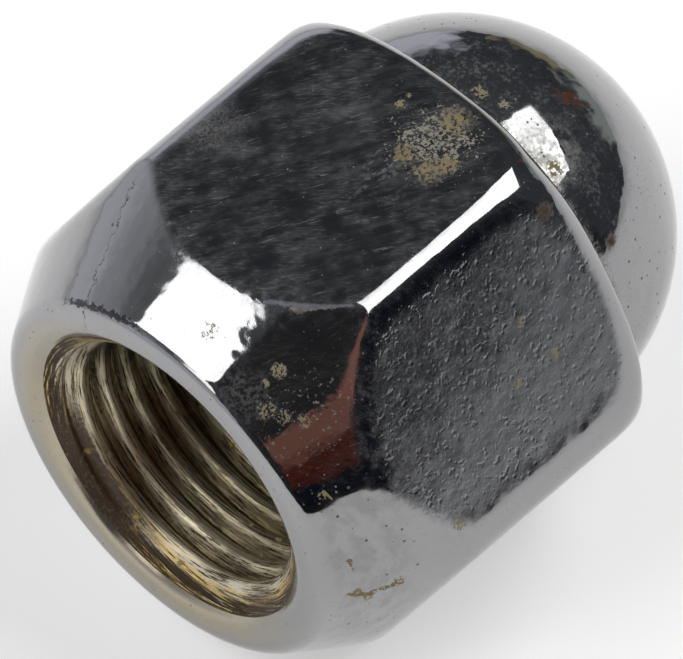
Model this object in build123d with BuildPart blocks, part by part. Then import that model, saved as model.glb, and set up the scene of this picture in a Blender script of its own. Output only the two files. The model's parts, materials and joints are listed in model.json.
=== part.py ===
"""Closed-end acorn lug nut, forged in one piece, lying on one of its wrench flats.

The thread axis runs along X. The origin is the centre of the open mouth, on that
axis, and the domed end points to +X. All sizes are in millimetres.
"""
from build123d import *

import math
import os

# Hexagon that the wheel wrench grips
across_flats = 20.64  # 13/16 in wrench size
corner_radius = 1.9  # forged rounding along the six long edges

# Conical seat that centres the wheel on its stud
seat_angle = 60.0  # included angle
seat_diameter = 16.85  # sharp small end of the cone, at the mouth
rim_rounding = 0.7
seat_blend = min(2.4, 1.3 * corner_radius)  # where the cone runs out into the flats

# Shoulder behind the hexagon, turned to a chamfer over the corners
shoulder_length = 16.75  # from the mouth
shoulder_diameter = 20.3  # sharp edge between the shoulder's face and its chamfer
shoulder_rounding = 1.5
chamfer_angle = 42.0  # measured from the shoulder's face

# Domed cap
overall_length = 25.7
dome_diameter = 17.66

# Blind hole for a 1/2-20 UNF thread, with its wall left at the tap drill's size
tap_drill_diameter = 11.5
hole_depth = 17.5  # from the mouth to the end of the full bore
drill_point_angle = 118.0
countersink_diameter = 14.0
countersink_angle = 90.0

# Worked out from the sizes above
sharp_corner = across_flats / 2 / math.cos(math.radians(30))
seat_length = (sharp_corner - seat_diameter / 2) / math.tan(math.radians(seat_angle / 2))
chamfer_length = (sharp_corner - shoulder_diameter / 2) * math.tan(math.radians(chamfer_angle))
dome_start = shoulder_length / 2  # well inside the hexagon
dome_centre = overall_length - dome_diameter / 2
tap_drill_radius = tap_drill_diameter / 2
point_length = tap_drill_radius / math.tan(math.radians(drill_point_angle / 2))
countersink_depth = (countersink_diameter / 2 - tap_drill_radius) / math.tan(
    math.radians(countersink_angle / 2)
)

# The seams of the turned faces lie between a flat and a corner, clear of both
turning_plane = Plane.XY.rotated((15, 0, 0))


def is_scallop(edge):
    """An edge that a turned face cuts across the hexagon is neither straight nor round."""
    return edge.geom_type not in (GeomType.LINE, GeomType.CIRCLE)


with BuildPart() as lug_nut:
    # Hexagonal blank with rounded long edges and one flat underneath
    with BuildSketch(Plane.YZ) as hexagon:
        RegularPolygon(radius=across_flats / 2, side_count=6, major_radius=False)
        fillet(hexagon.vertices(), corner_radius)
    extrude(amount=shoulder_length)

    # Turned outside: the seat's cone at the mouth and the chamfered shoulder
    with BuildSketch(turning_plane) as turned_outside:
        with BuildLine():
            Polyline(
                (0, 0),
                (0, seat_diameter / 2),
                (seat_length, sharp_corner),
                (shoulder_length - chamfer_length, sharp_corner),
                (shoulder_length, shoulder_diameter / 2),
                (shoulder_length, 0),
                close=True,
            )
        make_face()
        rim = turned_outside.vertices().group_by(Axis.X)[0]
        fillet(rim.sort_by_distance((0, 0, 0))[-1], rim_rounding)
        shoulder = turned_outside.vertices().group_by(Axis.X)[-1]
        fillet(shoulder.sort_by_distance((0, 0, 0))[-1], shoulder_rounding)
    revolve(axis=Axis.X, mode=Mode.INTERSECT)

    # Scalloped edge where the cone runs out into the flats and the long edges
    scallops = lug_nut.edges().filter_by(is_scallop)
    fillet(scallops.filter_by_position(Axis.X, 0, shoulder_length / 2), seat_blend)

    # Domed cap, drawn from inside the body to its apex
    with BuildSketch(turning_plane):
        with BuildLine():
            Line((dome_start, 0), (dome_start, dome_diameter / 2))
            Line((dome_start, dome_diameter / 2), (dome_centre, dome_diameter / 2))
            CenterArc((dome_centre, 0), dome_diameter / 2, 0, 90)
            Line((overall_length, 0), (dome_start, 0))
        make_face()
    revolve(axis=Axis.X)

    # Blind hole with its drill point and its countersunk mouth
    with BuildSketch(turning_plane):
        with BuildLine():
            Polyline(
                (0, 0),
                (0, countersink_diameter / 2),
                (countersink_depth, tap_drill_radius),
                (hole_depth, tap_drill_radius),
                (hole_depth + point_length, 0),
                close=True,
            )
        make_face()
    revolve(axis=Axis.X, mode=Mode.SUBTRACT)

lug_nut.part.label = "lug_nut"
os.makedirs("parts", exist_ok=True)
export_step(lug_nut.part, "parts/lug_nut.step")
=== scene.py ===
import json
import math

import bpy
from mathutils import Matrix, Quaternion, Vector


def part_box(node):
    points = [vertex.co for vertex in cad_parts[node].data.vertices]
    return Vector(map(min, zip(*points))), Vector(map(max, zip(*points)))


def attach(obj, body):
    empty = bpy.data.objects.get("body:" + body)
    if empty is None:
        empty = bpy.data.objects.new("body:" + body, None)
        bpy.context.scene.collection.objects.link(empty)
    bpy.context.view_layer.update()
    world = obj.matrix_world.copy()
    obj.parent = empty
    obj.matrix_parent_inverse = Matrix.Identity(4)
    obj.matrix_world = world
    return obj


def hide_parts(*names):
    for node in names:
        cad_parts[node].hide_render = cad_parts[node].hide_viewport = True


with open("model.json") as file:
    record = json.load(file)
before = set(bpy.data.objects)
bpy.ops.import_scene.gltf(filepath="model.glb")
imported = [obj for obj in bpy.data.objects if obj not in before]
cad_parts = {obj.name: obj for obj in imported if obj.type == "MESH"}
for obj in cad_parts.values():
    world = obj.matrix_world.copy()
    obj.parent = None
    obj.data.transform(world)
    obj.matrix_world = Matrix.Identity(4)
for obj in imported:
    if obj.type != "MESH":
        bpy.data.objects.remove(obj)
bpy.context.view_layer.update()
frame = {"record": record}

# A closed-end acorn lug nut, plated with chrome and lying on one wrench flat.
# X runs along the thread axis to the dome and Z is up. The nut's sizes are in
# millimetres, and those of the table, lamps and camera in metres.
MM = 0.001
nut_low, nut_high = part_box("lug_nut")


# ---- Camera ---------------------------------------------------------------
# A long lens on a tripod looks down into the open mouth, over the nearest
# corner of the hexagon.
def towards(azimuth, elevation):
    """The direction of something that many degrees round from +X, and up."""
    azimuth, elevation = math.radians(azimuth), math.radians(elevation)
    flat = math.cos(elevation)
    return Vector((flat * math.cos(azimuth), flat * math.sin(azimuth), math.sin(elevation)))


def turned_to(direction, roll):
    """The turn that points +Z in a direction, rolled round it by some degrees."""
    return direction.to_track_quat("Z", "Y") @ Quaternion((0, 0, 1), math.radians(roll))


camera_side = towards(-134.0, 50.85)
camera_distance = 0.91513
camera_roll = 3.46
aim = Vector((nut_low.x + 8.363 * MM, -1.986 * MM, nut_high.z - 6.874 * MM))

camera_data = bpy.data.cameras.new("tripod_camera")
camera_data.lens = 1223.1
camera_data.sensor_width = 36
camera_data.clip_start = 0.05
camera_data.clip_end = 20
camera = bpy.data.objects.new("tripod_camera", camera_data)
camera.location = aim + camera_side * camera_distance
camera.rotation_mode = "QUATERNION"
camera.rotation_quaternion = turned_to(camera_side, -camera_roll)
bpy.context.scene.collection.objects.link(camera)
bpy.context.scene.camera = camera
bpy.context.scene.view_settings.view_transform = "Standard"


# ---- Table ----------------------------------------------------------------
# A round table top under a white sheet, which ends in front of the nut. The
# sheet is painted paler near the nut than at the rim, a painted pool of lamp
# light. It glows a little where the lens or the plating sees it, and still
# takes the nut's shadow.
class Wire:
    """One output of a node tree. The signs between wires add maths nodes."""

    def __init__(self, tree, socket):
        self.tree = tree
        self.socket = socket

    def maths(self, operation, *others):
        return node(self.tree, "ShaderNodeMath", self, *others, operation=operation)

    def __add__(self, other):
        return self.maths("ADD", other)

    def __sub__(self, other):
        return self.maths("SUBTRACT", other)

    def __mul__(self, other):
        return self.maths("MULTIPLY", other)

    def __truediv__(self, other):
        return self.maths("DIVIDE", other)

    def least(self, other):
        return self.maths("MINIMUM", other)

    def most(self, other):
        return self.maths("MAXIMUM", other)

    def rest(self):
        """What is left of one."""
        return self * -1 + 1

    def step(self, low, high, low_value=0.0, high_value=1.0):
        """A soft step from one value to another as the wire goes from low to high."""
        limits = (low, high, low_value, high_value)
        return node(
            self.tree, "ShaderNodeMapRange", self, *limits, interpolation_type="SMOOTHSTEP"
        )


def node(tree, kind, *values, take=0, **settings):
    """Adds a node, fills its inputs in order and returns one of its outputs."""
    made = tree.nodes.new(kind)
    for name, value in settings.items():
        setattr(made, name, value)
    inputs = [socket for socket in made.inputs if socket.enabled]
    for socket, value in zip(inputs, values):
        if isinstance(value, Wire):
            tree.links.new(value.socket, socket)
        elif value is not None:
            socket.default_value = value
    outputs = [socket for socket in made.outputs if socket.enabled]
    if isinstance(take, str):
        return Wire(tree, next(s for s in outputs if s.name == take))
    return Wire(tree, outputs[take])


def vector_maths(tree, operation, *values, take="Vector"):
    """Adds a node that reckons with vectors."""
    return node(tree, "ShaderNodeVectorMath", *values, operation=operation, take=take)


def across(tree, vector, direction):
    """How far a vector reaches in one direction."""
    return vector_maths(tree, "DOT_PRODUCT", vector, tuple(direction), take="Value")


def shown(tree):
    """Counts 1 for what the lens sees, directly, in the plating or through glass."""
    rays = ("Is Camera Ray", "Is Glossy Ray", "Is Transmission Ray")
    direct, mirrored, through = (node(tree, "ShaderNodeLightPath", take=ray) for ray in rays)
    return (direct + mirrored + through).least(1.0)


def shader(name):
    """An empty material and its node tree."""
    material = bpy.data.materials.new(name)
    material.use_nodes = True
    material.node_tree.nodes.clear()
    return material, material.node_tree


def lead_out(tree, kind, wire):
    """Leads a wire into the tree's output."""
    tree.links.new(wire.socket, tree.nodes.new(kind).inputs[0])


table_radius = 0.45
table_sides = 120
painted_pool_white = 0.82
white_past_painted_pool = 0.48
sheet_end = 0.135
left_past_sheet = 0.03  # share of the whiteness that the bare table top has
glow_share = 0.50
table_points = [(0.0, 0.0, nut_low.z)]
for side in range(table_sides):
    turn = math.radians(side * 360 / table_sides)
    table_points.append(
        (table_radius * math.cos(turn), table_radius * math.sin(turn), nut_low.z)
    )
table_faces = [(0, i, i % table_sides + 1) for i in range(1, table_sides + 1)]
table_mesh = bpy.data.meshes.new("table_top")
table_mesh.from_pydata(table_points, [], table_faces)
table = bpy.data.objects.new("table_top", table_mesh)
bpy.context.scene.collection.objects.link(table)

white_table, tree = shader("white_table")
table_place = node(tree, "ShaderNodeTexCoord", take="Object")
from_middle = vector_maths(tree, "LENGTH", table_place, take="Value")
to_front = across(tree, table_place, towards(-118, 0))
on_sheet = to_front.step(sheet_end, sheet_end + 0.025, 1.0, left_past_sheet)
# Painted pool of lamp light: whiter near the nut and dimmer towards the rim, and the glow follows
# it
whiteness = from_middle.step(0.03, 0.30, painted_pool_white, white_past_painted_pool) * on_sheet
paper_colour = node(tree, "ShaderNodeCombineColor", whiteness, whiteness, whiteness)
paper = node(tree, "ShaderNodeBsdfDiffuse", paper_colour)
glow_strength = shown(tree) * whiteness * glow_share
glow = node(tree, "ShaderNodeEmission", (1.0, 1.0, 1.0, 1.0), glow_strength)
lead_out(tree, "ShaderNodeOutputMaterial", node(tree, "ShaderNodeAddShader", paper, glow))
table_mesh.materials.append(white_table)


# ---- Lamps and room -------------------------------------------------------
# Two large softboxes, one overhead and one beyond the mouth, in a dark room with
# a pale wall, a bright window and a few brown and green things in it. The chrome
# mirrors all of them.
def softbox(name, place, facing, width, height, turn, brightness):
    """A flat lamp whose face has the given brightness, whatever its size."""
    lamp = bpy.data.lights.new(name, "AREA")
    lamp.shape = "RECTANGLE"
    lamp.size, lamp.size_y = width, height
    lamp.energy = brightness * math.pi * width * height
    box = bpy.data.objects.new(name, lamp)
    box.location = place
    box.rotation_mode = "QUATERNION"
    box.rotation_quaternion = turned_to(facing, turn)
    bpy.context.scene.collection.objects.link(box)


overhead_height = 2.2
softbox(
    "overhead_softbox",
    place=Vector((0.76, -0.54, 1.0)) * overhead_height,
    facing=Vector((0, 0, 1)),
    width=1.12 * overhead_height,
    height=1.04 * overhead_height,
    turn=5.0,
    brightness=3.3,
)
beyond_mouth = towards(151, 49.5)
softbox(
    "side_softbox",
    place=beyond_mouth * 2.6,
    facing=beyond_mouth,
    width=2.0,
    height=1.24,
    turn=0.0,
    brightness=3.0,
)


def taken_apart(tree, kind, wire):
    """Every output of a node that takes a vector or a colour apart."""
    outputs = node(tree, kind, wire).socket.node.outputs
    return [Wire(tree, socket) for socket in outputs]


def layered(tree, colour, layers):
    """A colour with others laid over it in turn, each by its own share."""
    for over, share in layers:
        pair = [c if isinstance(c, Wire) else (*c, 1) for c in (colour, over)]
        colour = node(
            tree, "ShaderNodeMix", share, *pair, data_type="RGBA", take="Result"
        )
    return colour


room = bpy.data.worlds.new("dark_room")
bpy.context.scene.world = room
room.use_nodes = True
tree = room.node_tree
tree.nodes.clear()
looking = node(tree, "ShaderNodeTexCoord", take="Generated")
x, y, z = taken_apart(tree, "ShaderNodeSeparateXYZ", looking)
wobble = node(tree, "ShaderNodeTexNoise", looking, 9.0, 3.0, 0.6, take="Color")
wobble_round, wobble_up, _ = taken_apart(tree, "ShaderNodeSeparateColor", wobble)
azimuth = y.maths("ARCTAN2", x) * math.degrees(1) + (wobble_round - 0.5) * 26
elevation = z.maths("ARCSINE") * math.degrees(1) + (wobble_up - 0.5) * 20

# Each thing's colour, its left, right, low and high edges in degrees, and how
# softly it ends
things = (
    ((0.030, 0.030, 0.032), -165, -58, -20, 60, 7),  # dark wall behind the camera
    ((0.009, 0.011, 0.019), -132, -58, -20, 22, 7),  # its darker foot
    ((0.40, 0.41, 0.44), 66, 150, -20, 38, 16),  # pale wall
    ((0.15, 0.155, 0.16), 95, 150, 34, 60, 10),  # its dimmer top
    ((0.68, 0.70, 0.76), 72, 200, -20, 12, 9),  # white cupboards along it
    ((2.6, 2.5, 2.3), 163, 194, 19, 34, 4),  # window
    ((0.36, 0.37, 0.43), -190, -128, 64, 76, 5),  # strip of pale ceiling
    ((0.36, 0.37, 0.43), 170, 190, 64, 76, 5),  # the same, past half a turn
    ((0.75, 0.76, 0.86), 43, 66, -20, 16, 5),  # white door
    ((0.36, 0.40, 0.38), -12, 13, -20, 7, 3),  # green cloth
    ((0.36, 0.31, 0.19), 14, 32, -20, 2, 2),  # straw box
    ((0.19, 0.08, 0.05), 1, 6, 9, 20, 2),  # brown post
    ((0.33, 0.14, 0.105), -124, -96, 28, 42, 2),  # brown board, lit from above
    ((0.25, 0.115, 0.085), -141, -116, 19, 31, 2),  # its next step down
    ((0.10, 0.022, 0.014), -134, -112, 8, 19, 4),  # its dark end
    ((0.50, 0.43, 0.38), -164, -146, 60, 64, 1),  # beige rail
)
ceiling = ((0.086, 0.090, 0.096), elevation.step(15, 60))
room_layers = [ceiling]
for tint, left, right, low, high, soft in things:
    from_left = azimuth.step(left - soft, left + soft)
    from_right = azimuth.step(right + soft, right - soft)
    from_below = elevation.step(low - soft, low + soft)
    from_above = elevation.step(high + soft, high - soft)
    room_layers.append((tint, (from_left * from_right) * (from_below * from_above)))
seen = layered(tree, (0.055, 0.060, 0.068), room_layers)
room_brightness = 1.08
background = node(tree, "ShaderNodeBackground", seen, room_brightness)
lead_out(tree, "ShaderNodeOutputWorld", background)


# ---- Forged and turned outside --------------------------------------------
# One hot-forged steel blank with six wrench flats, a turned conical seat at the
# mouth, a rounded shoulder and a domed cap. Its outline is spun round the axis
# and the flats are pressed into it.
across_flats = (nut_high.z - nut_low.z) / MM
seat_small_radius = 8.44
seat_slope = 30.6  # degrees from the axis
seat_crown = 110.0  # radius of its slight bulge
rim_rounding = 0.8
land_crest = 7.6  # radius of the flat land round the mouth, at its inner edge
land_rounding = 1.0
mouth_radius = 6.85
dome_radius = 8.83
dome_centre = nut_high.x / MM - dome_radius
shoulder_face = 16.85
shoulder_arc = 2.64
shoulder_arc_height = 9.03
blank_radius = 11.95


def bend(centre, radius, start, end, steps):
    """Points along a round bend of the outline, as (along the axis, radius)."""
    points = []
    for step in range(steps + 1):
        turn = math.radians(start + (end - start) * step / steps)
        points.append((centre[0] + radius * math.cos(turn), centre[1] + radius * math.sin(turn)))
    return points


def straight(start, end, steps):
    """Points along a straight run of the outline, without its ends."""
    return [
        tuple(a + (b - a) * step / steps for a, b in zip(start, end))
        for step in range(1, steps)
    ]


seat_sine = math.sin(math.radians(seat_slope))
seat_cosine = math.cos(math.radians(seat_slope))
rim_reach = rim_rounding * math.tan(math.radians((90 - seat_slope) / 2))
rim_centre = (rim_rounding, seat_small_radius - rim_reach)
rim_end = (rim_rounding - rim_rounding * seat_sine, rim_centre[1] + rim_rounding * seat_cosine)
seat_centre = (rim_end[0] + seat_crown * seat_sine, rim_end[1] - seat_crown * seat_cosine)
seat_stop = math.degrees(math.asin((blank_radius - seat_centre[1]) / seat_crown))
seat_end = (seat_centre[0] - seat_crown * math.cos(math.radians(seat_stop)), blank_radius)
shoulder_start = (12.5, blank_radius)
shoulder_centre = (shoulder_face - shoulder_arc, shoulder_arc_height)
shoulder_top = (shoulder_centre[0], shoulder_arc_height + shoulder_arc)
land_end = math.degrees(math.asin((land_crest - mouth_radius) / land_rounding))

outline = bend((dome_centre, 0), dome_radius, 0, 88, 44)
outline += [(shoulder_face + 0.02, dome_radius + 0.06)]
outline += bend(shoulder_centre, shoulder_arc, 0, 90, 36)
outline += straight(shoulder_top, shoulder_start, 6)
outline += [shoulder_start] + straight(shoulder_start, seat_end, 30)
outline += bend(seat_centre, seat_crown, 180 - seat_stop, 90 + seat_slope, 44)[:-1]
outline += bend(rim_centre, rim_rounding, 90 + seat_slope, 180, 10)
outline += straight((0, rim_centre[1]), (0, land_crest), 3)
outline += bend((land_rounding, land_crest), land_rounding, 180, 180 + land_end, 6)


def node_tree(name, sizes):
    """An empty Geometry Nodes tree with an input for each size, and wires from them.

    A size of None stands for a mesh.
    """
    tree = bpy.data.node_groups.new(name, "GeometryNodeTree")
    tree.interface.new_socket("Geometry", in_out="OUTPUT", socket_type="NodeSocketGeometry")
    kinds = {int: "NodeSocketInt", float: "NodeSocketFloat", type(None): "NodeSocketGeometry"}
    for label, size in sizes.items():
        tree.interface.new_socket(label, in_out="INPUT", socket_type=kinds[type(size)])
    group = tree.nodes.new("NodeGroupInput")
    return tree, {label: Wire(tree, group.outputs[label]) for label in sizes}


def ring_grid(tree, rows, columns):
    """A sheet of vertices, with each one's row and its angle round the axis.

    The columns crowd together at the six corners, where the surface bends most.
    """
    sheet = node(tree, "GeometryNodeMeshGrid", 1.0, 1.0, rows, columns + 1, take="Mesh")
    index = node(tree, "GeometryNodeInputIndex")
    row = (index / (columns + 1)).maths("FLOOR")
    turn = (index - row * (columns + 1)) / columns * math.tau
    corner_crowding = 0.66
    angle = turn - (turn * 6).maths("SINE") * (corner_crowding / 6)
    return sheet, row, angle


def place_on_axis(tree, sheet, along, radius, angle):
    """Rolls the sheet up round the axis, from millimetres into metres."""
    sideways = radius * angle.maths("COSINE") * MM
    upwards = radius * angle.maths("SINE") * MM
    place = node(tree, "ShaderNodeCombineXYZ", along * MM, sideways, upwards)
    return node(tree, "GeometryNodeSetPosition", sheet, None, place)


def keep(tree, sheet, name, value, kind="FLOAT"):
    """Stores a value on the vertices, for the materials to read."""
    settings = {"data_type": kind, "domain": "POINT"}
    return node(tree, "GeometryNodeStoreNamedAttribute", sheet, None, name, value, **settings)


# The keen corner is the one over which the camera looks, between the upper flat
# and the pitted one. The blends say how softly the turned faces meet the flats.
outside_sizes = {
    "Outline": None,
    "Columns": 216,
    "Across Flats": across_flats,
    "Corner Rounding": 2.03,
    "Keen Rounding": 1.25,
    "Keen Corner": math.radians(120),
    "Seat Blend": 0.62,
    "Keen Blend": 0.13,
    "Shoulder Blend": 0.5,
    "Edge Roll": 0.75,
}
press, given = node_tree("spun_and_pressed", outside_sizes)
rows = node(press, "GeometryNodeAttributeDomainSize", given["Outline"], component="MESH")
sheet, row, angle = ring_grid(press, rows, given["Columns"])
point = node(
    press,
    "GeometryNodeSampleIndex",
    given["Outline"],
    node(press, "GeometryNodeInputPosition"),
    row,
    data_type="FLOAT_VECTOR",
    domain="POINT",
)
along, radius, _ = taken_apart(press, "ShaderNodeSeparateXYZ", point)
# Six flats with round corners between them
half_flats = given["Across Flats"] / 2
keen = (angle - given["Keen Corner"]).maths("COSINE").step(0.86, 0.96)
rounding = given["Corner Rounding"] + (given["Keen Rounding"] - given["Corner Rounding"]) * keen
core = (half_flats - rounding) / math.cos(math.pi / 6)
from_corner = angle.maths("PINGPONG", math.pi / 6)
on_flat = half_flats / (from_corner * -1 + math.pi / 6).maths("COSINE")
reach = core * from_corner.maths("SINE")
on_arc = (rounding * rounding - reach * reach).most(0).maths("SQRT")
on_corner = core * from_corner.maths("COSINE") + on_arc
arc_end = (rounding * 0.5).maths("ARCTAN2", core + rounding * math.cos(math.pi / 6))
in_corner = from_corner.maths("LESS_THAN", arc_end)
hexagon = on_flat + (on_corner - on_flat) * in_corner
# The seat runs out sharply into the upper flat and softly into the others
upper = (angle - (given["Keen Corner"] - math.pi / 6)).maths("COSINE").step(0.80, 0.855)
seat_blend = given["Seat Blend"] + (given["Keen Blend"] - given["Seat Blend"]) * upper
blend = seat_blend + (given["Shoulder Blend"] - seat_blend) * along.step(8.0, 12.0)
pressed = radius.maths("SMOOTH_MIN", hexagon, blend)
# The shoulder's edge rolls down where it meets the flats
roll = given["Edge Roll"]
over = (pressed - hexagon + roll).most(0).least(roll)
sag = roll - (roll * roll - over * over).most(0).maths("SQRT")
rolled = along - sag * along.step(8.0, 14.0)
body = place_on_axis(press, sheet, rolled, pressed, angle)
body = keep(press, body, "pressed_in", radius - hexagon)
body = keep(press, body, "from_corner", from_corner * pressed)
lead_out(press, "NodeGroupOutput", body)


# ---- Tapped hole ----------------------------------------------------------
# A blind 1/2-20 UNF hole, drilled from the mouth, countersunk, and cut
# right-handed with a tap, which leaves fine tears along the turns.
thread_mount = next(m for m in frame["record"]["mounts"] if m["name"] == "thread")
thread_length = thread_mount["dims"]["length_mm"]
crest_radius = thread_mount["dims"]["r_mm"]
root_half_flat = 0.07
thread_softness = 0.16
countersink_softness = 0.08
run_out = 2.2  # over which the last turns fade out
plain_end = 0.2  # past them, at the bottom of the hole
cone_rows = 12
drill_point_angle = 118
land_drop = math.sqrt(land_rounding**2 - (land_crest - mouth_radius) ** 2)
bore_sizes = {
    "Columns": outside_sizes["Columns"],
    "Rows Per Turn": 14,
    "Pitch": 25.4 / 20,
    "Crest Radius": crest_radius,
    "Root Radius": 6.35,
    "Mouth Radius": mouth_radius,
    "Countersink Slope": 1.25,
    "Start": land_rounding - land_drop,
    "End": thread_mount["pos_m"][0] / MM + thread_length / 2,
    "Drill Point": crest_radius / math.tan(math.radians(drill_point_angle / 2)),
}


def joined(tree, *parts):
    """Several meshes as one."""
    join = tree.nodes.new("GeometryNodeJoinGeometry")
    for part in parts:
        tree.links.new(part.socket, join.inputs[0])
    return Wire(tree, join.outputs[0])


tap, given = node_tree("tapped_bore", bore_sizes)
start, end = given["Start"], given["End"]
turns = ((end - start) / given["Pitch"]).maths("CEIL") + 1
sheet, row, angle = ring_grid(tap, (turns + 1) * given["Rows Per Turn"] + 1, given["Columns"])
turned = row / given["Rows Per Turn"] - 1
along = (start + (turned + angle / math.tau) * given["Pitch"]).most(start).least(end)
phase = (row / given["Rows Per Turn"]).maths("FRACT")
from_root = (phase - 0.5).maths("ABSOLUTE") * given["Pitch"]
depth = given["Root Radius"] - given["Crest Radius"]
cut = (from_root - root_half_flat) * math.sqrt(3)
flank = cut.maths("SMOOTH_MAX", 0.0, thread_softness).maths("SMOOTH_MIN", depth, thread_softness)
groove = (depth - flank) * along.step(end - run_out, end - plain_end).rest()
thread = given["Crest Radius"] + groove
countersink = given["Mouth Radius"] - (along - start) * given["Countersink Slope"]
wall = thread.maths("SMOOTH_MAX", countersink, countersink_softness)
wall = wall + (countersink - wall) * along.step(start + 0.15, start + 0.02)
bore = place_on_axis(tap, sheet, along, wall, angle)
lap = phase * math.tau
lay = node(tap, "ShaderNodeCombineXYZ", lap.maths("COSINE"), lap.maths("SINE"), flank)
bore = keep(tap, bore, "thread_lay", lay, "FLOAT_VECTOR")
sheet, row, angle = ring_grid(tap, cone_rows, given["Columns"])
left = row / (1 - cone_rows) + 1
cone_depth = end + given["Drill Point"] * left.rest()
drill_point = place_on_axis(tap, sheet, cone_depth, given["Crest Radius"] * left, angle)
lead_out(tap, "NodeGroupOutput", joined(tap, drill_point, bore))


# ---- Chrome plate ---------------------------------------------------------
# Nickel and chrome plate over the forging, a mirror where nothing has touched it.
# One flat is eaten by fine pits, the upper one is brushed by wrenches, and dried
# road dirt has stained both.
top = across_flats / 2
upward = (0, 0, 1)
pitted_side = towards(-90, 30)
clean_chrome = (0.312, 0.312, 0.322)
pale_chrome = (0.350, 0.350, 0.355)
painted_dark_chrome = (0.16, 0.16, 0.17)
pitted_chrome = (0.328, 0.337, 0.355)
tarnish_and_painted_shade = (0.06, 0.06, 0.06)
grey_streaks_and_painted_shade = (0.21, 0.21, 0.21)
painted_warm_sheen = (0.42, 0.37, 0.27)
pale_dust = (0.31, 0.31, 0.29)
open_crack = (0.05, 0.045, 0.05)
pin_hole = (0.12, 0.11, 0.10)
dark_spot = (0.12, 0.10, 0.08)
road_dirt = (0.31, 0.295, 0.235)
ochre_clay = (0.27, 0.19, 0.055)
clay_crumb = (0.29, 0.235, 0.11)
brown_rust = (0.085, 0.046, 0.022)
brown_grime = (0.20, 0.16, 0.08)


def in_millimetres(tree):
    """The place on the object, in millimetres."""
    place = node(tree, "ShaderNodeTexCoord", take="Object")
    return vector_maths(tree, "MULTIPLY", place, (1000, 1000, 1000))


def stored(tree, name, take=2):
    """A value that was stored on the vertices."""
    return node(tree, "ShaderNodeAttribute", attribute_name=name, take=take)


def greatest(first, *others):
    """The greatest of several wires."""
    for other in others:
        first = first.most(other)
    return first


def noise(tree, vector, scale, detail, seed, rough=0.5):
    """Seeded noise round 0.5, with its scale in waves per millimetre."""
    shift = (7.3 * seed, 3.1 * seed, 5.7 * seed)
    shifted = vector_maths(tree, "ADD", vector, shift)
    return node(tree, "ShaderNodeTexNoise", shifted, scale, detail, rough)


def stretched(tree, vector, length, width, lean, tilt=0.0):
    """A place measured along and across brush marks that lean one way."""
    lengthways = across(tree, vector, towards(lean, tilt)) / length
    crossways = across(tree, vector, towards(lean + 90, 0)) / width
    return node(
        tree, "ShaderNodeCombineXYZ", lengthways, crossways, across(tree, vector, upward)
    )


def pits(tree, vector, per_millimetre, share, low, high):
    """Counts 1 in the middle of small round pits, of which only a share is kept."""
    cells = node(tree, "ShaderNodeTexVoronoi", vector, per_millimetre, take="Color")
    away = Wire(tree, cells.socket.node.outputs["Distance"])
    kept = node(tree, "ShaderNodeSeparateColor", cells, take="Red").step(share, share - 0.05)
    return away.step(high, low) * kept


def blot(tree, vector, middle, reach, raggedness, soft):
    """Counts 1 inside a ragged blot round one place and 0 outside it."""
    away = vector_maths(tree, "DISTANCE", vector, middle, take="Value")
    return (away / reach + (raggedness - 0.5) * 1.7).step(1.0 + soft / 2, 1.0 - soft)


def smear(tree, vector, start, end, width, raggedness):
    """Counts 1 along a ragged streak from one place to another."""
    start, end = Vector(start), Vector(end)
    run = end - start
    share = across(tree, vector, run / run.length_squared) - start.dot(run) / run.length_squared
    share = share.most(0).least(1)
    share = node(tree, "ShaderNodeCombineXYZ", share, share, share)
    nearest = vector_maths(tree, "MULTIPLY_ADD", share, tuple(run), tuple(start))
    away = vector_maths(tree, "DISTANCE", vector, nearest, take="Value")
    return (away / width + (raggedness - 0.5) * 2.4).step(1.1, 0.8)


def metal(tree, colour, metallic, roughness, height):
    """Finishes a material as metal, with its relief given in millimetres."""
    bump = node(tree, "ShaderNodeBump", 1.0, MM, None, height)
    finish = tree.nodes.new("ShaderNodeBsdfPrincipled")
    tree.links.new(colour.socket, finish.inputs["Base Color"])
    tree.links.new(metallic.socket, finish.inputs["Metallic"])
    tree.links.new(roughness.socket, finish.inputs["Roughness"])
    tree.links.new(bump.socket, finish.inputs["Normal"])
    lead_out(tree, "ShaderNodeOutputMaterial", Wire(tree, finish.outputs[0]))


plate, tree = shader("worn_chrome_plate")
place = in_millimetres(tree)
cloud = noise(tree, place, 0.45, 3.0, 14.0, 0.5)
mottle = noise(tree, place, 1.1, 3.0, 15.0, 0.6)
ragged = noise(tree, place, 1.9, 4.0, 11.0, 0.6)
peel = noise(tree, place, 3.6, 1.0, 17.0, 0.5)
grain = noise(tree, place, 5.6, 2.0, 13.0, 0.7)
fine = noise(tree, place, 6.5, 3.0, 12.0, 0.6)
grit = noise(tree, place, 9.5, 2.0, 16.0, 0.7)
streaky = noise(tree, stretched(tree, place, 2.4, 0.5, -27), 1.0, 3.0, 25.0, 0.6)
along = across(tree, place, (1, 0, 0))
height_up = across(tree, place, upward)
up_and_forward = across(tree, place, (-0.42, 0, 1))
sideways = vector_maths(tree, "MULTIPLY", place, (0, 1, 1))
out_from_axis = vector_maths(tree, "LENGTH", sideways, take="Value")
pressed_in = stored(tree, "pressed_in")
from_corner = stored(tree, "from_corner")

# Where each face of the nut is
upper_flat = height_up.step(10.16, 10.30)
pitted_flat = across(tree, place, pitted_side).step(10.02, 10.30)
pitted_flat = pitted_flat * from_corner.step(0.4, 1.9) * pressed_in.step(-0.1, 0.6)
pitted_flat = pitted_flat * height_up.step(0.2, 2.6)
land = out_from_axis.step(8.4, 7.2) * along.step(2.0, 1.0)
# Painted warm reflection: the land is tinted warm towards its lower side
land_warmth = land * across(tree, place, (0, 0.7, -0.7)).step(-5.0, 4.0)
dome = along.step(16.7, 17.2)
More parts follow.
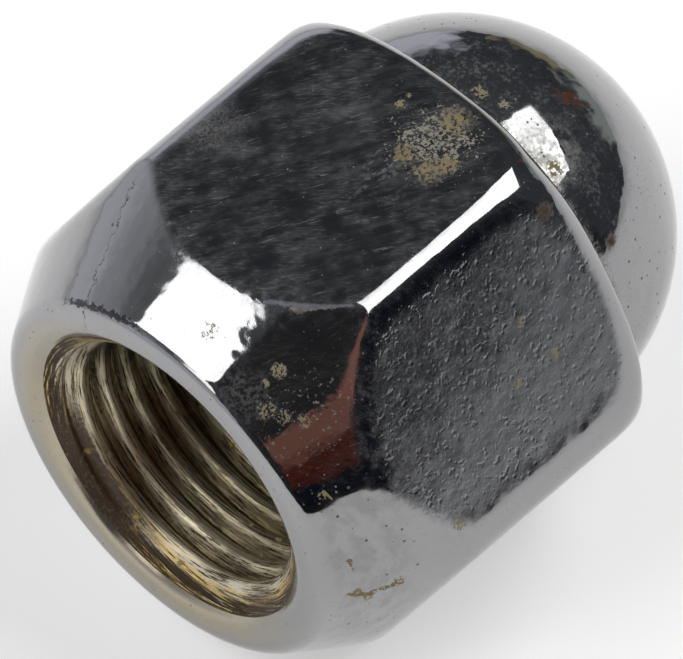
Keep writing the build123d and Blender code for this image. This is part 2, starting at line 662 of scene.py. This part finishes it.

# Pitted and peeling plate on one flat, with ragged tarnished patches and a
# painted shade towards its upper end, and a few pin holes elsewhere
eaten = peel.step(0.54, 0.74) * (mottle + ragged * 0.6).step(0.66, 0.92)
eaten = eaten * up_and_forward.step(-9, 1, 0.3, 1.0)
pocks = pits(tree, place, 2.6, 0.5, 0.02, 0.34)
pin_holes = pits(tree, place, 1.7, 0.2, 0.04, 0.13)
# Painted shade: the flat darkens towards its upper end, broken into ragged tarnished patches
tarnish_and_shade = (up_and_forward + (mottle - 0.5) * 9).step(-1.2, 3.8)
tarnish_and_shade = tarnish_and_shade * (ragged * 0.5 + grain * 0.5).step(0.26, 0.56)

# Brush marks of wrenches and rags
brushed = noise(tree, stretched(tree, place, 0.55, 0.10, -47), 1.0, 4.0, 21.0, 0.7)
brushed = brushed.step(0.46, 0.76) * (mottle + cloud).step(0.86, 1.14)
hairlines = noise(tree, stretched(tree, place, 1.1, 0.07, -27), 1.0, 3.0, 22.0, 0.6)
hairlines = hairlines.step(0.59, 0.74) * ragged.step(0.42, 0.58)
haze = (cloud * 0.3 + mottle * 0.2 + streaky * 0.5).step(0.44, 0.66) * (fine * 0.6 + 0.4)
brushed = (brushed * 0.6 + hairlines * 1.2 + haze * 0.30) * (upper_flat * 0.8 + 0.2)

# The rolled edges, where sockets have rubbed
rubbed = pressed_in.maths("ABSOLUTE").step(0.6, 0.0)
rubbed = rubbed * (fine * 0.6 + ragged * 1.4).step(0.85, 1.25) * along.step(9.0, 7.5)

# Dust: tiny pale specks everywhere, a film in patches, and grey streaks with a painted shade
# under the seat
specks = pits(tree, place, 2.9, 0.45, 0.05, 0.15) * mottle.step(0.36, 0.6)
littered = blot(tree, place, (1.3, -7.9, 4.7), 1.15, ragged, 0.9)
specks = specks.most((pocks * 0.6 + grit).step(0.88, 0.98) * littered * 1.3)
scuffs = noise(tree, stretched(tree, place, 1.7, 0.42, -4), 1.0, 3.0, 23.0, 0.6)
scuffs = scuffs.step(0.50, 0.62) * blot(tree, place, (10.9, -1.6, top), 1.5, ragged, 0.8)
film = greatest(
    blot(tree, place, (8.5, 4.8, top), 1.5, ragged, 0.7) * grit.step(0.25, 0.65) * 1.3,
    blot(tree, place, (12.4, 1.2, top), 1.6, ragged, 1.0) * fine * 0.5,
    scuffs * grain.step(0.36, 0.62) * 1.3,
    blot(tree, place, (0.85, -3.9, 8.0), 1.2, ragged, 0.8) * grain.step(0.4, 0.6) * 0.7,
    dome * along.step(22.5, 18.0) * (mottle * 0.5 + grain * 0.7).step(0.60, 0.78),
    blot(tree, place, (17.9, -4.4, 7.5), 1.5, grain, 0.9) * ragged.step(0.40, 0.54) * 2.8,
)
# Painted shade under the seat: grey streaks over a grey that deepens towards its lower side
streaks_and_shade = noise(tree, stretched(tree, place, 1.6, 0.35, -60, -30), 1.0, 3.0, 24.0, 0.6)
streaks_and_shade = streaks_and_shade.step(0.36, 0.66) * along.step(4.2, 2.4) * along.step(0.3, 0.9)
streaks_and_shade = (streaks_and_shade * 0.6 + 0.4) * across(tree, place, (0, -0.8, -0.6)).step(1.5, 5.5)
dust = (specks * 0.8 + film * 0.30 + brushed * 0.54 + rubbed * 0.09).least(0.9)

# Dried road dirt: a grainy stain with ochre in it, smears and small crumbs
stain = blot(tree, place, (13.8, -2.3, top), 2.0, ragged, 0.7)
cone_dirt = blot(tree, place, (2.1, -6.3, 7.0), 2.9, mottle, 1.0) * 0.75
grains = (grit * 0.6 + grain * 0.4 + stain * 0.17).step(0.63, 0.69) * stain.step(0.02, 0.3)
grains = grains.most((grain * 0.5 + fine * 0.5 + cone_dirt * 0.07).step(0.61, 0.68) * cone_dirt)
ochre = greatest(
    blot(tree, place, (15.2, -2.1, top), 0.70, fine, 1.1),
    blot(tree, place, (12.6, -1.75, top), 0.48, fine, 1.1),
    blot(tree, place, (12.55, -3.05, top), 0.62, fine, 1.1),
    blot(tree, place, (13.25, -3.45, top), 0.5, fine, 1.1),
) * grain.step(0.34, 0.52)
vein = (ragged * 0.6 + grain * 0.4 - 0.5).maths("ABSOLUTE").step(0.032, 0.014)
crumbs = [
    blot(tree, place, middle, reach, fine, 0.5) * pattern.step(0.40, 0.56)
    for middle, reach, pattern in (
        ((14.32, 0.05, top), 0.26, grain),
        ((17.8, -0.9, 8.75), 0.34, grain),
        ((18.1, -1.9, 8.6), 0.22, grain),
        ((14.9, 0.15, top), 0.12, grain),
        ((11.87, -8.48, 5.96), 0.26, grain),
        ((12.69, -9.53, 4.13), 0.26, grain),
        ((10.55, -9.51, 4.17), 0.24, grain),
        ((5.44, -11.04, 1.51), 0.32, grain),
        ((2.30, -4.62, 8.58), 0.32, grit),
        ((1.70, -4.45, 8.29), 0.17, grain),
        ((1.12, -5.05, 7.6), 0.40, grit - 0.05),
        ((1.45, -5.6, 7.35), 0.30, grit - 0.05),
        ((1.92, -6.27, 7.19), 0.28, grit - 0.04),
        ((1.12, -7.82, 4.60), 0.2, grain),
        ((1.62, -1.55, 9.25), 0.36, vein * 0.5 + 0.2),
        ((2.84, -10.05, -0.55), 0.28, grain),
        ((1.35, -9.2, -0.60), 0.30, grain),
        ((1.75, -9.40, -1.05), 0.26, grain),
        ((17.75, -4.9, 7.25), 0.42, grain),
        ((2.9, -8.9, 4.2), 0.12, grain),
        ((1.2, -9.0, 1.4), 0.12, grain),
    )
]
smears = [
    smear(tree, place, start, end, width, ragged) * grain.step(0.38, 0.46)
    for start, end, width in (
        ((1.05, -9.02, -0.55), (1.9, -9.48, -0.95), 0.13),
        ((1.9, -9.48, -0.80), (3.0, -10.1, -0.70), 0.12),
        ((1.22, -9.05, 1.4), (1.3, -9.15, 0.8), 0.08),
        ((1.05, -7.65, 5.15), (1.42, -8.15, 4.25), 0.05),
    )
]
crumbs = greatest(*crumbs, *smears)
rust = blot(tree, place, (15.1, -7.0, 8.7), 0.48, fine, 0.9)
rust = rust.most(blot(tree, place, (18.1, -7.5, 4.5), 0.3, fine, 0.8))
spots = pocks.step(0.42, 0.66) * (streaks_and_shade + dome * mottle).step(0.40, 0.54) * ragged.step(0.42, 0.50)
spots = spots.most(blot(tree, place, (21.1, -6.4, 4.4), 0.9, mottle, 0.8) * grit.step(0.60, 0.66))

# Grime in the groove round the foot of the dome
foot = (along - (shoulder_face + 0.05)).maths("ABSOLUTE")
foot = foot.most((out_from_axis - dome_radius).maths("ABSOLUTE"))
grime = foot.step(0.75, 0.1) * (ragged * 0.5 + fine * 0.5).step(0.47, 0.56)

# A hairline crack in the plate beside the mouth, and chips along the rim
crack = across(tree, place, (-0.365, 1, 0)) + (ragged - 0.5) * 0.9 + (fine - 0.5) * 0.2
crack = (crack - 3.9).maths("ABSOLUTE").step(0.034, 0.010) * along.step(5.2, 4.6)
crack = crack * height_up.step(6, 7)
chipped = (out_from_axis + (fine - 0.5) * 0.5 - 8.56).maths("ABSOLUTE").step(0.11, 0.06)
chipped = chipped * along.step(0.5, 0.35) * blot(tree, place, (0.2, 3.1, 7.9), 2.2, grain, 0.3)

# Painted dark reflection: patches of the upper flat are darkened in colour, standing for the dim
# room it mirrors
painted_dark_patches = upper_flat * (mottle * 0.5 + streaky * 0.5).step(0.70, 0.35) * 0.9
plate_layers = (
    (pale_chrome, cloud),
    (painted_dark_chrome, painted_dark_patches),
    (pitted_chrome, pitted_flat),
    (tarnish_and_painted_shade, pitted_flat * (tarnish_and_shade * 0.76).most(eaten * 0.3)),
    (grey_streaks_and_painted_shade, streaks_and_shade * 0.75),
    (painted_warm_sheen, land_warmth * (cloud * 0.6 + 0.5)),
    (pale_dust, dust),
    (open_crack, (crack * 0.8).most(chipped * 0.9)),
    (pin_hole, pin_holes * 0.8),
    (dark_spot, spots * 0.85),
    (road_dirt, grains),
    (ochre_clay, ochre * 0.9),
    (clay_crumb, crumbs),
    (brown_rust, rust * 0.92),
    (brown_grime, grime * 0.8),
)
solid_dirt = greatest(grains * 0.8, ochre, crumbs, grime * 0.8, spots * 0.6)
roughness = cloud.step(0.35, 0.7, 0.03, 0.08) + brushed * 0.12 + rubbed * 0.15
roughness = roughness + pitted_flat * 0.24 + land * 0.16 + (fine - 0.5) * 0.04
roughness = greatest(roughness, solid_dirt * 0.85, rust * 0.6).most(0.02)
# Slight waves, a slight fall towards the underside, and the pitted relief
height = noise(tree, place, 1.2, 1.0, 18.0) * 0.014 + fine * 0.0006
height = height - across(tree, place, (0, -0.5, -0.866)).step(0.0, 9.5) * 0.10
relief = across(tree, place, (0.5, -0.4, -0.7)).step(9.5, 1.5, 0.35, 1.0)
depths = (mottle - 0.5) * 0.034 - pocks * 0.014 - eaten * 0.019 + (fine - 0.5) * 0.006
height = height + pitted_flat * relief * depths
colour = layered(tree, clean_chrome, plate_layers)
metal(tree, colour, solid_dirt.most(dust).rest(), roughness, height)


# ---- Bare steel of the thread ---------------------------------------------
# The plating hardly reaches into the hole. The crests are rubbed bright by the
# stud, fine tool lines follow the turns, and old oil and dust fill the roots.
# Deeper in and towards its upper wall the hole is painted darker, as painted
# shade.
oiled_steel = (0.38, 0.305, 0.165)
black_oil = (0.036, 0.025, 0.010)
tool_line = (0.54, 0.48, 0.33)
rubbed_crest = (0.76, 0.68, 0.49)
pale_countersink = (0.68, 0.62, 0.50)
golden_countersink = (0.66, 0.48, 0.20)
painted_shade_deep = (0.022, 0.016, 0.007)
dark_edge = (0.030, 0.018, 0.007)
brown_soot = (0.050, 0.030, 0.019)
rusty_soot = (0.20, 0.13, 0.05)
ochre_crumb = (0.42, 0.30, 0.07)

steel, tree = shader("oily_tapped_steel")
place = in_millimetres(tree)
lay = stored(tree, "thread_lay", 1)
flank = node(tree, "ShaderNodeSeparateXYZ", lay, take="Z")
drift = vector_maths(tree, "MULTIPLY", place, (0.05, 0.05, 0.05))
around = vector_maths(tree, "MULTIPLY", lay, (0.2, 0.2, 0.5))
around = vector_maths(tree, "ADD", around, drift)
lines = noise(tree, around, 16.0, 4.0, 31.0, 0.7)
bands = noise(tree, around, 3.4, 2.0, 32.0, 0.5)
streaks = noise(tree, around, 34.0, 2.0, 35.0, 0.6)
patches = noise(tree, place, 0.5, 3.0, 33.0, 0.6)
fine = noise(tree, place, 6.0, 3.0, 34.0, 0.7)
inward = across(tree, place, (1, 0, 0))
unlined = lines.step(0.58, 0.48)

countersunk = inward.step(1.45, 1.0)
golden = (bands + fine * 0.4 - inward * 0.35).step(0.30, 0.46)
countersink = layered(tree, pale_countersink, [(golden_countersink, golden)])
crest = (flank + (bands - 0.5) * 1.3).step(0.14, 0.52) * countersunk.rest()
# Deeper in, the crests' light colour fades by half: painted shade
crest = crest * (inward + (patches - 0.5) * 5).step(2.4, 4.4, 1.0, 0.5)
oil = (lines * 0.7 + patches * 0.4 + (fine - 0.5) * 0.2).step(0.46, 0.66)
# Painted shade: darker deeper in the hole and towards its upper wall
deep_shade = inward * 1.2 + across(tree, place, (0, 0.2, 1.5)) + (patches - 0.5) * 4
deep_shade = deep_shade.step(2.6, 6.4) * inward.step(0.9, 1.8)
mouth_edge = (inward + (fine - 0.5) * 0.25 + (bands - 0.5) * 0.3).step(0.86, 0.62)
sooty = (inward + (bands - 0.5) * 0.5 + (fine - 0.5) * 0.3).step(1.38, 1.10)
sooty = blot(tree, place, (0.6, 4.9, -4.1), 3.7, fine * 0.5 + 0.25, 0.5) * sooty
sooty = sooty.most(blot(tree, place, (0.45, -4.5, -4.7), 1.2, fine, 0.6) * 0.6)
crumbs = pits(tree, place, 1.3, 0.22, 0.08, 0.22)
for middle in ((0.9, 5.2, -3.3), (0.9, 2.7, -5.4), (3.2, -0.9, -5.7), (3.9, -2.4, -5.2)):
    crumbs = crumbs.most(blot(tree, place, middle, 0.2, fine, 0.3))
crumbs = crumbs * fine.step(0.40, 0.50)

steel_layers = (
    (black_oil, oil),
    (tool_line, streaks.step(0.55, 0.66) * 0.6),
    (rubbed_crest, crest * unlined),
    (countersink, countersunk * unlined * 0.95),
    (painted_shade_deep, deep_shade * 0.92),
    (dark_edge, mouth_edge * lines.step(0.36, 0.46) * 0.97),
    (brown_soot, sooty * 0.96),
    (rusty_soot, sooty * (fine * 0.7 + lines * 0.3).step(0.53, 0.66)),
    (ochre_crumb, crumbs),
)
colour = layered(tree, oiled_steel, steel_layers)
metallic = ((crumbs + sooty * 0.3) * -1 + 0.82).most(0)
roughness = oil.step(0, 1, 0.34, 0.44) + crumbs * 0.4 + (fine - 0.5) * 0.2
height = lines * 0.026 + fine * 0.008 + crumbs * 0.03
metal(tree, colour, metallic, roughness, height)


# ---- The finished nut -----------------------------------------------------
# The outside and the hole are one piece of steel, so both are welded here into
# one closed skin, the outside with its plate and the hole without.
sizes = outside_sizes | bore_sizes
whole, given = node_tree("lug_nut", sizes)


def made_by(tree, group, given, material):
    """Another tree used inside this one, fed by the inputs of the same names."""
    used = tree.nodes.new("GeometryNodeGroup")
    used.node_tree = group
    for socket in used.inputs:
        tree.links.new(given[socket.name].socket, socket)
    made = Wire(tree, used.outputs[0])
    return node(tree, "GeometryNodeSetMaterial", made, None, material)


weld_distance = 0.004 * MM
outside = made_by(whole, press, given, plate)
inside = made_by(whole, tap, given, steel)
skin = joined(whole, inside, outside)
skin = node(whole, "GeometryNodeMergeByDistance", skin, None, weld_distance)
skin = node(whole, "GeometryNodeSetShadeSmooth", skin, None, True)
skin = node(whole, "GeometryNodeRealizeInstances", skin)
lead_out(whole, "NodeGroupOutput", skin)

blank = bpy.data.meshes.new("turned_outline")
blank_edges = [(i, i + 1) for i in range(len(outline) - 1)]
blank.from_pydata([(x, r, 0) for x, r in outline], blank_edges, [])
maker = bpy.data.objects.new("nut_maker", blank)
bpy.context.scene.collection.objects.link(maker)
modifier = maker.modifiers.new("lug_nut", "NODES")
modifier.node_group = whole
for item in whole.interface.items_tree:
    if item.in_out == "INPUT" and sizes[item.name] is not None:
        modifier[item.identifier] = sizes[item.name]
graph = bpy.context.evaluated_depsgraph_get()
nut_mesh = bpy.data.meshes.new_from_object(maker.evaluated_get(graph))
bpy.data.objects.remove(maker)
nut = bpy.data.objects.new("chromed_lug_nut", nut_mesh)
bpy.context.scene.collection.objects.link(nut)
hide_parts("lug_nut")
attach(nut, "root")
